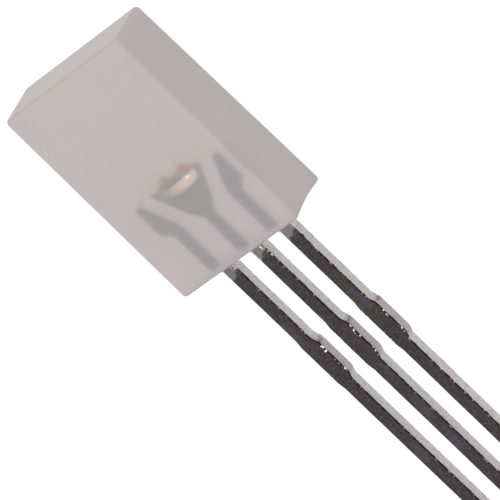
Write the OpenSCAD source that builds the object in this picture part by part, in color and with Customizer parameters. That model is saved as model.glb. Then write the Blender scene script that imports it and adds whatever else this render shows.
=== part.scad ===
// Rectangular LED with three leads: a milky epoxy block cast round a stamped lead frame.
// The light end points up and the leads point down. The block's base rim lies at Z = 0,
// and the Z axis runs down the middle of the centre lead. All lengths are in millimetres.

/* [Epoxy block] */
// Width of the block at its base
base_w = 5.10; // [4.9:0.02:6]
// Width of the block at the light end, where the mould's draft makes it narrower
top_w = 5.08; // [4.8:0.02:6]
// Thickness of the block at its base
base_t = 2.00; // [1.7:0.02:3]
// Thickness of the block at the light end
top_t = 1.82; // [1.6:0.02:3]
// Height of the block above its base rim
block_h = 7.3; // [4.5:0.1:12]
// Radius of the block's edges and corners
edge_r = 0.15; // [0.05:0.01:0.3]
// Depth of the shallow hollow in which the resin set, along the middle of the base
base_dip = 0.07; // [0.02:0.01:0.12]

/* [Resin fillets round the leads] */
// Height over which the resin curves from the base onto each lead
fillet_h = 0.50; // [0.2:0.05:0.6]
// How far each fillet spreads from the lead where it meets the base
fillet_w = 0.16; // [0.06:0.01:0.3]
// How far the film of resin runs on down the lead below its fillet
film_h = 0.15; // [0.05:0.05:0.6]
// Thickness of that film
film_t = 0.012; // [0.008:0.001:0.02]

/* [Lead frame] */
// Width of a lead, as stamped
lead_w = 0.48; // [0.4:0.01:0.5]
// Thickness of the sheet that the lead frame is stamped from
lead_t = 0.37; // [0.3:0.01:0.5]
// Distance between the middles of neighbouring leads
lead_pitch = 1.27; // [1.2:0.01:1.35]
// Length of the centre lead and the right lead below the base rim
long_lead = 28.5; // [20:0.5:32]
// How much shorter the left lead is
lead_step = 1.0; // [0.5:0.1:3]
// Depth below the base rim at which the cut tie bar left its stubs
stub_depth = 3.35; // [2:0.05:6]
// Height of the tie bar's stubs
stub_h = 1.70; // [0.8:0.05:2]
// How far a stub stands out on the right side of each lead, where the bar was cut last
stub_out = 0.10; // [0.04:0.01:0.15]
// Height of the bevels at the two ends of that stub
stub_bevel = 0.24; // [0.04:0.01:0.3]
// How far a stub stands out on the left side of each lead
stub_back = 0.04; // [0.02:0.01:0.1]
// How far that stub reaches past the right one, above and below
stub_more = 0.15; // [0.05:0.01:0.3]

/* [Side posts] */
// Height of the side posts' flat tops above the base rim
post_h = 2.86; // [2.7:0.02:3]
// Width of the flat top that takes the bond wire
post_tip_w = 0.28; // [0.22:0.01:0.34]
// How far the post's head steps outwards past the side of the lead
post_step = 0.35; // [0.3:0.01:0.38]
// Height at which that step starts
step_low = 1.58; // [1.4:0.02:1.7]
// Height at which that step is full
step_high = 1.82; // [1.74:0.02:2]
// Height at which the post's inner edge starts to lean outwards
lean_low = 1.74; // [1.4:0.02:1.8]

/* [Reflector head] */
// Height of the reflector's rim above the base rim
rim_h = 2.94; // [2.84:0.02:3]
// Width of the head at its rim
head_w = 2.24; // [2.1:0.02:2.3]
// Height at which the centre lead starts to widen into the head
flare_low = 1.52; // [1.3:0.02:1.6]
// Height of the knee where the head's sides turn steeper
knee_h = 1.82; // [1.7:0.02:1.9]
// Width of the head at the knee
knee_w = 1.04; // [0.9:0.02:1.1]
// Length of the oval bulge that the reflector makes, along its rim
bulge_len = 2.00; // [1.9:0.02:2.04]
// How far that bulge stands out at its middle, to the front and back and downwards
bulge_r = 0.58; // [0.5:0.01:0.62]
// Radius of the bulge's two rounded ends
bulge_end_r = 0.25; // [0.2:0.01:0.3]
// Wall of the reflector at its rim
cup_wall = 0.09; // [0.06:0.01:0.1]
// Depth of the reflector's flat floor below its rim
cup_depth = 0.13; // [0.1:0.01:0.2]

/* [Light-emitting dies] */
// Width of each square die
die_w = 0.30; // [0.24:0.01:0.32]
// Height of each die
die_h = 0.32; // [0.24:0.01:0.36]
// Distance between the middles of the two dies
die_pitch = 0.80; // [0.74:0.01:0.88]
// How far the die's etched top stands in from its sides
mesa_in = 0.02; // [0.01:0.005:0.03]
// Height of that etched top
mesa_h = 0.05; // [0.03:0.01:0.08]
// Thickness of the conductive glue under each die
glue_t = 0.02; // [0.015:0.001:0.03]
// Diameter of the glue spot under each die
glue_d = 0.46; // [0.44:0.01:0.48]
// Diameter of the round contact on top of each die
pad_d = 0.12; // [0.1:0.01:0.14]
// Height of that contact
pad_h = 0.01; // [0.008:0.001:0.015]

/* [Bond wires] */
// Diameter of the gold wire
wire_d = 0.03; // [0.025:0.001:0.038]
// Diameter of the ball that starts each wire
ball_d = 0.09; // [0.07:0.005:0.1]
// Radius of the wire's bend above the die
bend_r = 0.10; // [0.06:0.01:0.12]
// Height of the wire's straight rise from the die's contact to the start of its bend
rise_h = 0.14; // [0.08:0.01:0.3]
// Diameter of the pressed foot that ends each wire
foot_d = 0.10; // [0.08:0.01:0.12]
// Thickness of that foot
foot_t = 0.012; // [0.01:0.001:0.02]

/* [Hidden] */
$fn = 32;

// Resin shape
base_arc_r = (pow(base_t / 2, 2) + pow(base_dip, 2)) / (2 * base_dip);
fillet_rise = fillet_w - film_t;
fillet_arc_r = (pow(fillet_rise, 2) + pow(fillet_h, 2)) / (2 * fillet_rise);

// Lead frame, measured from the centre line of each lead
post_foot = min(step_low, lean_low);
post_out = lead_w / 2 + post_step;
post_in = post_out - post_tip_w;
post_top_mid = lead_pitch + post_out - post_tip_w / 2;

// The reflector's oval: two small arcs at its ends run smoothly into one large arc between them
bulge_end = bulge_len / 2 - bulge_end_r;
bulge_arc_r = (pow(bulge_end, 2) + pow(bulge_r, 2) - pow(bulge_end_r, 2)) / (2 * (bulge_r - bulge_end_r));
bulge_meet = bulge_end + bulge_end_r * bulge_end / (bulge_arc_r - bulge_end_r);

// Stack in the reflector
floor_z = rim_h - cup_depth;
die_z = floor_z + glue_t;
pad_z = die_z + die_h;
ball_z = pad_z + pad_h;
ball_mid = ball_z + ball_d / 4;

// Bond wire: up from the ball, round the bend, then down a straight run to the post.
// The run leaves the bend along the line that touches it and ends in the foot.
neck_z = ball_z + rise_h;
foot_z = post_h + foot_t / 2;
foot_x = post_top_mid - die_pitch / 2;
wire_fall = asin(bend_r / norm([foot_x - bend_r, neck_z - foot_z]))
    + atan2(neck_z - foot_z, foot_x - bend_r);

// Steps that the wire's bend is made in, and flats round the wire
bend_steps = 8;
wire_sides = 12;

// Extra length that lets one shape run clean through another
through = 0.1;

// How far the hollow round a sealed piece runs on into what carries it, so that both hollows meet
sunk = 0.005;

// Stands a flat outline drawn in X and Z upright, with its thickness along Y
module upright(thickness) {
    rotate([90, 0, 0])
        linear_extrude(thickness, center = true)
            children();
}

// The block as it leaves the mould: both widths shrink towards the light end
module moulded_block() {
    hull()
        for (sx = [-1, 1], sy = [-1, 1]) {
            translate([sx * (base_w / 2 - edge_r), sy * (base_t / 2 - edge_r), edge_r])
                sphere(edge_r);
            translate([sx * (top_w / 2 - edge_r), sy * (top_t / 2 - edge_r), block_h - edge_r])
                sphere(edge_r);
        }
}

// The round-bottomed trough that the setting resin leaves along the base
module base_hollow() {
    translate([0, 0, base_dip - base_arc_r])
        rotate([0, 90, 0])
            cylinder(r = base_arc_r, h = base_w + 2 * through, center = true, $fn = 360);
}

// Side view of one fillet: a film along the lead, curving out to meet the base
module fillet_outline(lead_size) {
    half = lead_size / 2;
    translate([-half - film_t, base_dip - fillet_h - film_h])
        square([lead_size + 2 * film_t, fillet_h + film_h + through]);
    difference() {
        translate([-half - fillet_w, base_dip - fillet_h])
            square([lead_size + 2 * fillet_w, fillet_h + through]);
        for (side = [-1, 1])
            translate([side * (half + film_t + fillet_arc_r), base_dip - fillet_h])
                circle(fillet_arc_r, $fn = 96);
    }
}

// Resin drawn down one lead on all four sides
module resin_fillet() {
    intersection() {
        upright(lead_t + 2 * fillet_w)
            fillet_outline(lead_w);
        rotate([0, 0, 90])
            upright(lead_w + 2 * fillet_w)
                fillet_outline(lead_t);
    }
}

// The epoxy, with the lead frame, dies and wires sealed into it
module epoxy_body() {
    color([0.78, 0.74, 0.74])
        difference() {
            union() {
                difference() {
                    moulded_block();
                    base_hollow();
                }
                for (place = [-1, 0, 1])
                    translate([place * lead_pitch, 0, 0])
                        resin_fillet();
            }
            common_lead();
            left_lead();
            right_lead();
            left_die_glue(sunk);
            right_die_glue(sunk);
            red_die(sunk);
            green_die(sunk);
            red_bond_wire(sunk);
            green_bond_wire(sunk);
        }
}

// Outline of a lead below the head: a plain strip with the cut tie bar's two stubs.
// The same punch cuts every lead from the same side, so this outline is never mirrored.
module strip_outline(length, top) {
    half = lead_w / 2;
    stub_top = -stub_depth;
    stub_end = -stub_depth - stub_h;
    translate([-half, -length])
        square([lead_w, length + top]);
    polygon([
        [-half, stub_end - stub_more],
        [half, stub_end],
        [half + stub_out, stub_end + stub_bevel],
        [half + stub_out, stub_top - stub_bevel],
        [half, stub_top],
        [-half, stub_top + stub_more],
        [-half - stub_back, stub_top + stub_more - stub_bevel],
        [-half - stub_back, stub_end - stub_more + stub_bevel]
    ]);
}

// Outline of the side post's blade: it steps outwards and leans away from the reflector
module post_outline() {
    polygon([
        [-lead_w / 2, post_foot - through],
        [lead_w / 2, post_foot - through],
        [lead_w / 2, step_low],
        [post_out, step_high],
        [post_out, post_h],
        [post_in, post_h],
        [-lead_w / 2, lean_low]
    ]);
}

// A side lead in one piece with its post. The hand is 1 on the right and -1 on the left.
module side_lead(length, hand) {
    color([0.62, 0.60, 0.59])
        translate([hand * lead_pitch, 0, 0]) {
            upright(lead_t)
                strip_outline(length, post_foot);
            mirror([hand < 0 ? 1 : 0, 0, 0])
                upright(lead_t)
                    post_outline();
        }
}

module right_lead() {
    side_lead(long_lead, 1);
}

module left_lead() {
    side_lead(long_lead - lead_step, -1);
}

// Outline of the head that carries the reflector: a flare with a knee
module head_outline() {
    polygon([
        [-lead_w / 2, flare_low],
        [lead_w / 2, flare_low],
        [knee_w / 2, knee_h],
        [head_w / 2, rim_h],
        [-head_w / 2, rim_h],
        [-knee_w / 2, knee_h]
    ]);
}

// Half of the oval's outline, ready to be turned about its long axis. The wall is how far it
// lies inside the bulge's own skin.
module oval_outline(wall) {
    intersection() {
        union() {
            intersection() {
                translate([bulge_r - bulge_arc_r, 0])
                    circle(bulge_arc_r - wall, $fn = 128);
                translate([0, -bulge_meet])
                    square([bulge_r, 2 * bulge_meet]);
            }
            for (end = [-1, 1])
                translate([0, end * bulge_end])
                    circle(bulge_end_r - wall);
        }
        translate([0, -bulge_len / 2])
            square([bulge_r, bulge_len]);
    }
}

// Boat shape: the turned oval from the rim down to the given depth
module boat(wall, depth, above) {
    translate([0, 0, rim_h])
        intersection() {
            rotate([0, 90, 0])
                rotate_extrude($fn = 64)
                    oval_outline(wall);
            translate([-bulge_len, -2 * bulge_r, -depth])
                cube([2 * bulge_len, 4 * bulge_r, depth + above]);
        }
}

// The centre lead in one piece with its flared head and the reflector coined into it
module common_lead() {
    color([0.66, 0.65, 0.63])
        difference() {
            union() {
                upright(lead_t) {
                    strip_outline(long_lead, flare_low);
                    head_outline();
                }
                boat(0, bulge_r + through, 0);
            }
            boat(cup_wall, cup_depth, through);
        }
}

// Spot of conductive glue on the reflector's floor. Sink is how far it reaches below its seat.
module die_glue(sink) {
    color([0.72, 0.72, 0.70])
        translate([die_pitch / 2, 0, floor_z - sink])
            cylinder(d = glue_d, h = glue_t + sink);
}

module right_die_glue(sink = 0) {
    die_glue(sink);
}

module left_die_glue(sink = 0) {
    mirror([1, 0, 0])
        die_glue(sink);
}

// Sawn die with an etched top and a round contact
module die(sink) {
    mesa_w = die_w - 2 * mesa_in;
    translate([die_pitch / 2, 0, die_z]) {
        translate([-die_w / 2, -die_w / 2, -sink])
            cube([die_w, die_w, die_h - mesa_h + sink]);
        translate([-mesa_w / 2, -mesa_w / 2, 0])
            cube([mesa_w, mesa_w, die_h]);
        cylinder(d = pad_d, h = die_h + pad_h);
    }
}

module red_die(sink = 0) {
    color([0.55, 0.16, 0.10])
        die(sink);
}

module green_die(sink = 0) {
    color([0.45, 0.30, 0.12])
        mirror([1, 0, 0])
            die(sink);
}

// Each stop on the wire's way in X and Z from the die's centre line, with its heading in degrees
function wire_way() = concat(
    [[0, ball_z, 90]],
    [
        for (i = [0:bend_steps])
            let (heading = 90 - i * (90 + wire_fall) / bend_steps)
                [
                    bend_r - bend_r * sin(heading),
                    neck_z + bend_r * cos(heading),
                    heading
                ]
    ],
    [[foot_x, foot_z, -wire_fall]]
);

// Ring of points square to the wire at one of its stops
function wire_ring(stop) = [
    for (i = [0:wire_sides - 1])
        let (turn = 360 * i / wire_sides, out = wire_d / 2 * cos(turn))
            [
                stop[0] - out * sin(stop[2]),
                wire_d / 2 * sin(turn),
                stop[1] + out * cos(stop[2])
            ]
];

// Tube along the wire's way, closed at both ends
module wire_tube() {
    way = wire_way();
    last = len(way) - 1;
    polyhedron(
        points = [for (stop = way) each wire_ring(stop)],
        faces = concat(
            [[for (i = [wire_sides - 1:-1:0]) i]],
            [
                for (ring = [0:last - 1], i = [0:wire_sides - 1])
                    let (next = (i + 1) % wire_sides, low = ring * wire_sides)
                        [low + i, low + next, low + wire_sides + next, low + wire_sides + i]
            ],
            [[for (i = [0:wire_sides - 1]) last * wire_sides + i]]
        )
    );
}

// Gold wire from the die's contact to the flat top of its post
module bond_wire(sink) {
    color([0.83, 0.62, 0.22])
        difference() {
            translate([die_pitch / 2, 0, 0]) {
                translate([0, 0, ball_mid])
                    sphere(d = ball_d);
                wire_tube();
                translate([foot_x, 0, post_h - sink])
                    cylinder(d = foot_d, h = foot_t + sink);
            }
            translate([post_top_mid - post_tip_w / 2, -post_tip_w / 2, post_h - post_tip_w - sink])
                cube([2 * post_tip_w, post_tip_w, post_tip_w]);
            translate([die_pitch / 2 - ball_d, -ball_d, ball_z - ball_d - sink])
                cube([2 * ball_d, 2 * ball_d, ball_d]);
        }
}

module red_bond_wire(sink = 0) {
    bond_wire(sink);
}

module green_bond_wire(sink = 0) {
    mirror([1, 0, 0])
        bond_wire(sink);
}

epoxy_body();
common_lead();
left_lead();
right_lead();
left_die_glue();
right_die_glue();
red_die();
green_die();
red_bond_wire();
green_bond_wire();
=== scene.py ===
"""Looks of a three-lead rectangular LED: a milky epoxy block cast round a stamped lead frame.

The block's base rim lies at Z = 0 with the leads below it and the light end on top. Sizes and
places are in millimetres, in shapes and finishes alike, and each mesh is made in metres.
"""

from __future__ import annotations

import logging
import math
import random
from abc import ABC, abstractmethod
from collections.abc import Callable, Mapping, Sequence
from dataclasses import dataclass, field
from enum import Enum
from functools import partial
from typing import NamedTuple

import bmesh
import bpy
from mathutils import Matrix, Vector

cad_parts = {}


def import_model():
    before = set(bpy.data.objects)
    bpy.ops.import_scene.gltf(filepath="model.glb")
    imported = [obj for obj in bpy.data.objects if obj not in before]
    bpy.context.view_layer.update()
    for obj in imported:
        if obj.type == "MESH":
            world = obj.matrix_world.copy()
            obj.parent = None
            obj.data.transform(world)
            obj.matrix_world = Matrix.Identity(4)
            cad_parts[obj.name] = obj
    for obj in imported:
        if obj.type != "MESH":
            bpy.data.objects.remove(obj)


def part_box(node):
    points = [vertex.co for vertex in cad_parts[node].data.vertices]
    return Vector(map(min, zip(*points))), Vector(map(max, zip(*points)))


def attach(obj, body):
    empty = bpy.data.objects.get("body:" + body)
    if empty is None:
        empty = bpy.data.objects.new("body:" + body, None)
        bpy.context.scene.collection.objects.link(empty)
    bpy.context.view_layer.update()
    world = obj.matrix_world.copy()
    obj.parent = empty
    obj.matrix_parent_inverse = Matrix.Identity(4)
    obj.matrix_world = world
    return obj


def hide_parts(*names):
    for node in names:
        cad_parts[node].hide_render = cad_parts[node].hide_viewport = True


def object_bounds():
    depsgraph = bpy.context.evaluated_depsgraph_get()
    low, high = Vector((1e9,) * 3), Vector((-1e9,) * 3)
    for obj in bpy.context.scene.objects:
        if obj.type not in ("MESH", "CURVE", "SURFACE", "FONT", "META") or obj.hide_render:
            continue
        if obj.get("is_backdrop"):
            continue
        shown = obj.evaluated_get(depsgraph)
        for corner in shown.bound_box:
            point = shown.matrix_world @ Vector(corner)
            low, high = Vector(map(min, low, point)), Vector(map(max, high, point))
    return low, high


LOG = logging.getLogger("rectangular_led")

MM = 0.001
BODY = "root"
QUARTER = math.pi / 2
UP = Vector((0, 0, 1))
# Places nearer than this count as one.
WELD = 1e-4

Colour = tuple[float, float, float, float]
Ring = list[Vector]
Edge = list[tuple[float, float]]


def paint(red: int, green: int, blue: int) -> Colour:
    """Turns a colour as a screen shows it, 0 to 255 each, into the linear one that shaders take."""
    return (*(((c / 255 + 0.055) / 1.055) ** 2.4 for c in (red, green, blue)), 1.0)


def spread(low: float, high: float, count: int) -> list[float]:
    """Even places from low to high, with both ends and so many steps between them."""
    return [low + (high - low) * i / count for i in range(count + 1)]


def in_mm(corners: Sequence[Vector]) -> list[Vector]:
    """Turns corners from metres into millimetres."""
    return [corner / MM for corner in corners]


def mirrored(edge: Edge) -> Edge:
    """The same edge on the other side of a strip."""
    return [(z, -x) for z, x in edge]


def flat_front(_place: float) -> float:
    """A front that stands out nowhere."""
    return 0.0


class Rise(NamedTuple):
    """How a mask rises: the value where it is still 0, the one where it is full, and its share."""

    empty: float
    full: float
    share: float = 1.0


class Spots(NamedTuple):
    """A cloudy noise: the rough size of its spots, its finer layers, and how far the spots stretch up."""

    size: float
    detail: float = 3.0
    tall: float = 1.0


class Signal:
    """A value on its way through a material, on which Python's operators add Math nodes."""

    def __init__(self, graph: Graph, socket: bpy.types.NodeSocket | None) -> None:
        """Wraps an output socket of one of the graph's nodes, or none for a node without one."""
        self.graph = graph
        self.socket = socket

    def _math(self, operation: str, *terms: Signal | float) -> Signal:
        """Adds a Math node on the given terms, in their order."""
        return self.graph.node("ShaderNodeMath", {"operation": operation}, dict(enumerate(terms)))

    def _vector(self, operation: str, other: Sequence[float], output: str) -> Signal:
        """Adds a Vector Math node on this vector and another."""
        return self.graph.node("ShaderNodeVectorMath", {"operation": operation}, {0: self, 1: other}, output)

    def __add__(self, other: Signal | float) -> Signal:
        """Sum of two values."""
        return self._math("ADD", self, other)

    __radd__ = __add__

    def __sub__(self, other: Signal | float) -> Signal:
        """This value less another."""
        return self._math("SUBTRACT", self, other)

    def __rsub__(self, other: float) -> Signal:
        """A number less this value."""
        return self._math("SUBTRACT", other, self)

    def __mul__(self, other: Signal | float) -> Signal:
        """Product of two values."""
        return self._math("MULTIPLY", self, other)

    __rmul__ = __mul__

    def __abs__(self) -> Signal:
        """This value without its sign."""
        return self._math("ABSOLUTE", self)

    def wrap(self, half: float) -> Signal:
        """This value brought between -half and half, as on a pattern that repeats."""
        return self._math("WRAP", self, half, -half)

    def around(self, middle: Signal | float, amount: float) -> Signal:
        """This noise moved from 0.5 to lie around another value, with its range set to an amount."""
        return (self - 0.5) * amount + middle

    def part(self, axis: str) -> Signal:
        """This vector's part along X, Y or Z."""
        return self.graph.node("ShaderNodeSeparateXYZ", {}, {0: self}, axis)

    def times(self, factors: Sequence[float]) -> Signal:
        """This vector with each part multiplied by its own factor."""
        return self._vector("MULTIPLY", factors, "Vector")

    def distance(self, place: Sequence[float]) -> Signal:
        """How far this place lies from another."""
        return self._vector("DISTANCE", place, "Value")

    def mask(self, rise: Rise) -> Signal:
        """A mask that rises smoothly with this value.

        Args:
            rise: Where the mask is empty and where it is full, which may lie below that.

        Returns:
            The mask, from 0 to the share that the rise gives.
        """
        climbs = rise.empty < rise.full
        return self.graph.node(
            "ShaderNodeMapRange",
            {"interpolation_type": "SMOOTHSTEP"},
            {
                "Value": self,
                "From Min": min(rise.empty, rise.full),
                "From Max": max(rise.empty, rise.full),
                "To Min": 0.0 if climbs else rise.share,
                "To Max": rise.share if climbs else 0.0,
            },
        )


class Graph:
    """The node tree of one material or of the world."""

    def __init__(self, tree: bpy.types.NodeTree) -> None:
        """Empties the tree, so that it holds nothing but what is added here."""
        self.tree = tree
        tree.nodes.clear()

    def node(
        self,
        kind: str,
        settings: Mapping[str, object] | None = None,
        sockets: Mapping[str | int, object] | None = None,
        output: str | int = 0,
    ) -> Signal:
        """Adds a node.

        Args:
            kind: The node's type.
            settings: Its settings, which are set first.
            sockets: A value or a Signal for each input, by its name, identifier or number.
            output: The output that is wanted, by its name, identifier or number.

        Returns:
            The wanted output.
        """
        made = self.tree.nodes.new(kind)
        for name, value in (settings or {}).items():
            setattr(made, name, value)
        for name, value in (sockets or {}).items():
            socket = self._find(made.inputs, name)
            if isinstance(value, Signal):
                self.tree.links.new(value.socket, socket)
            else:
                socket.default_value = value
        return Signal(self, self._find(made.outputs, output) if made.outputs else None)

    @staticmethod
    def _find(sockets: Sequence[bpy.types.NodeSocket], name: str | int) -> bpy.types.NodeSocket:
        """Finds a socket by its number, its identifier or its name."""
        known = {socket.identifier: socket for socket in sockets}
        return known[name] if name in known else sockets[name]

    def mix(self, share: Signal | float, low: Signal | Colour, high: Signal | Colour) -> Signal:
        """Mixes two colours, with a share from 0 to 1 of the second one."""
        sockets = {"Factor_Float": share, "A_Color": low, "B_Color": high}
        return self.node("ShaderNodeMix", {"data_type": "RGBA"}, sockets, "Result_Color")

    def coats(self, base: Signal | Colour, *coats: tuple[Signal | float, Signal | Colour]) -> Signal:
        """Lays coats of colour over each other.

        Args:
            base: The colour below them all.
            coats: Each coat's mask and colour, from the lowest up.

        Returns:
            The colour with every coat on it.
        """
        for mask, coat in coats:
            base = self.mix(mask, base, coat)
        return base

    def blend(self, share: Signal | float, low: Signal, high: Signal) -> Signal:
        """Mixes two shaders, with a share from 0 to 1 of the second one."""
        return self.node("ShaderNodeMixShader", {}, {0: share, 1: low, 2: high})

    def principled(
        self, colour: Signal | Colour, roughness: Signal | float, more: Mapping[str, object]
    ) -> Signal:
        """Adds a Principled shader with a colour, a roughness, and more of its sockets."""
        sockets = {"Base Color": colour, "Roughness": roughness, **more}
        return self.node("ShaderNodeBsdfPrincipled", {}, sockets)

    def place(self) -> Signal:
        """Where on the piece a point lies."""
        return self.node("ShaderNodeTexCoord", output="Object").times([1 / MM] * 3)

    def normal(self) -> Signal:
        """Which way the surface faces."""
        return self.node("ShaderNodeTexCoord", output="Normal")

    def noise(self, spots: Spots) -> Signal:
        """Cloudy noise fixed to the piece, around 0.5."""
        scaled = self.place().times([1 / spots.size, 1 / spots.size, 1 / (spots.size * spots.tall)])
        return self.node("ShaderNodeTexNoise", {}, {"Vector": scaled, "Scale": 1.0, "Detail": spots.detail})

    def bump(self, height: Signal, depth: float) -> Signal:
        """Turns a height from 0 to 1, which stands for a depth in millimetres, into normals."""
        return self.node("ShaderNodeBump", {}, {"Height": height, "Distance": depth * MM})

    def seen(self) -> Signal:
        """Tells the rays that show what they meet, seen straight, in a reflection or through the resin.

        Returns:
            1 for such rays and 0 for those that only carry light.
        """
        camera, glossy, through = (
            self.node("ShaderNodeLightPath", output=name)
            for name in ("Is Camera Ray", "Is Glossy Ray", "Is Transmission Ray")
        )
        return (camera + glossy + through).mask(Rise(0.0, 1.0))


@dataclass(frozen=True)
class LeadSizes:
    """Sizes that the leads and the resin round them share."""

    width: float = 0.48
    thickness: float = 0.37
    pitch: float = 1.27
    edge_r: float = 0.045

    @property
    def row(self) -> tuple[float, float, float]:
        """Middles of the three leads along X."""
        return -self.pitch, 0.0, self.pitch


@dataclass(frozen=True)
class Finish(ABC):
    """A finish, which becomes one material."""

    name: str

    @abstractmethod
    def surface(self, graph: Graph) -> Signal:
        """Adds the finish's nodes to a material and gives back its shader."""

    def material(self) -> bpy.types.Material:
        """Builds the material.

        Returns:
            The new material.
        """
        made = bpy.data.materials.new(self.name)
        made.use_nodes = True
        graph = Graph(made.node_tree)
        graph.node("ShaderNodeOutputMaterial", {}, {"Surface": self.surface(graph)})
        return made


@dataclass(frozen=True)
class MilkyEpoxy(Finish):
    """Cast epoxy with a white diffuser in it: satin, pale and half see-through."""

    name: str = "milky_epoxy"
    warm: Colour = paint(192, 187, 177)
    cool: Colour = paint(189, 179, 188)
    # Painted shade: the end face and the narrow sides get their own darker colours by which way they face,
    # the sides another one low down.
    end: Colour = paint(165, 153, 145)
    side: Colour = paint(181, 179, 175)
    side_low: Colour = paint(188, 179, 181)
    through: Colour = paint(240, 235, 233)
    glow: Colour = paint(226, 217, 215)
    wall: Colour = paint(205, 197, 196)
    glow_share: float = 0.2
    roughness: float = 0.42
    clear_roughness: float = 0.38
    index: float = 1.5
    clouds: Spots = Spots(2.4, 2.0)
    grains: Spots = Spots(0.06, 2.0)
    grain_depth: float = 0.002
    film_wobble: float = 0.1
    cloudy: Rise = Rise(0.3, 0.7, 0.45)
    grainy: Rise = Rise(0.35, 0.65, 0.55)
    narrow: Rise = Rise(0.4, 0.9, 0.85)
    upward: Rise = Rise(0.3, 0.95, 0.9)
    low_side: Rise = Rise(6.0, 3.5)
    clear: Rise = Rise(0.02, 0.4, 0.40)
    film: Rise = Rise(-0.08, -0.26, 0.92)

    def _milk(self, graph: Graph, height: Signal, narrow: Signal, grain: Signal) -> Signal:
        """Mixes the milk's colour.

        Args:
            graph: The material's nodes.
            height: Height above the base rim.
            narrow: Mask of the narrow sides.
            grain: Fine noise.

        Returns:
            The colour, patchy on the broad faces, with painted shade on the narrow sides and the end, the
            sides taking another colour low down.
        """
        patches = graph.noise(self.clouds).mask(self.cloudy) + grain.mask(self.grainy)
        # Painted shade: darker colours on the narrow sides and the end face.
        side_shade = graph.mix(height.mask(self.low_side), self.side, self.side_low)
        upward = graph.normal().part("Z").mask(self.upward)
        return graph.coats(self.warm, (patches, self.cool), (narrow, side_shade), (upward, self.end))

    def surface(self, graph: Graph) -> Signal:
        """Mixes milk and clear resin, with lit walls inside and a thin film along the leads.

        Args:
            graph: The material's nodes.

        Returns:
            The shader.
        """
        height = graph.place().part("Z")
        narrow = abs(graph.normal().part("X")).mask(self.narrow)
        grain = graph.noise(self.grains)
        milk_sockets = {"IOR": self.index, "Normal": graph.bump(grain, self.grain_depth)}
        clear_sockets = {"IOR": self.index, "Transmission Weight": 1.0}
        milk = graph.principled(self._milk(graph, height, narrow, grain), self.roughness, milk_sockets)
        clear = graph.principled(self.through, self.clear_roughness, clear_sockets)
        glow = graph.node("ShaderNodeBsdfTranslucent", {}, {"Color": self.glow})
        wall = graph.node("ShaderNodeBsdfTranslucent", {}, {"Color": self.wall})
        bare = graph.node("ShaderNodeBsdfTransparent")
        resin = graph.blend(self.glow_share, milk, glow)
        resin = graph.blend(height.mask(self.clear) * (1 - narrow), resin, clear)
        resin = graph.blend(graph.node("ShaderNodeNewGeometry", output="Backfacing"), resin, wall)
        return graph.blend(grain.around(height, self.film_wobble).mask(self.film), resin, bare)


class LeadMap(Graph):
    """The plating's node tree, with the places, facings and noises that its masks follow."""

    BLOTCHES = Spots(0.13, 2.0, 1.6)
    CLOUDS = Spots(0.45, 3.0, 2.2)
    GRAINS = Spots(0.055, 1.5)
    SPECKS = Spots(0.09, 1.0)

    def __init__(self, tree: bpy.types.NodeTree) -> None:
        """Adds the nodes from which all masks start.

        Args:
            tree: The material's node tree.
        """
        super().__init__(tree)
        self.point = self.place()
        self.x, self.y, self.z = (self.point.part(axis) for axis in "XYZ")
        self.beside = self.x.wrap(LeadSizes.pitch / 2)
        self.across = abs(self.y)
        normal = self.normal()
        self.facing = abs(normal.part("Y"))
        self.outward = normal.part("X") * self.x + normal.part("Y") * self.y
        self.blotch = self.noise(self.BLOTCHES)
        self.cloud = self.noise(self.CLOUDS)
        self.grain = self.noise(self.GRAINS)
        self.speck = self.noise(self.SPECKS)


@dataclass(frozen=True)
class Sparkle:
    """A patch of painted highlights: bright specks on the leads' broad faces."""

    z: float
    beside: float
    tall: Rise
    wide: Rise
    specks: Rise

    def mask(self, at: LeadMap) -> Signal:
        """Where the specks shine, on a map of the leads."""
        tall = abs(at.z - self.z).mask(self.tall)
        return tall * abs(at.beside - self.beside).mask(self.wide) * at.speck.mask(self.specks)


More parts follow.
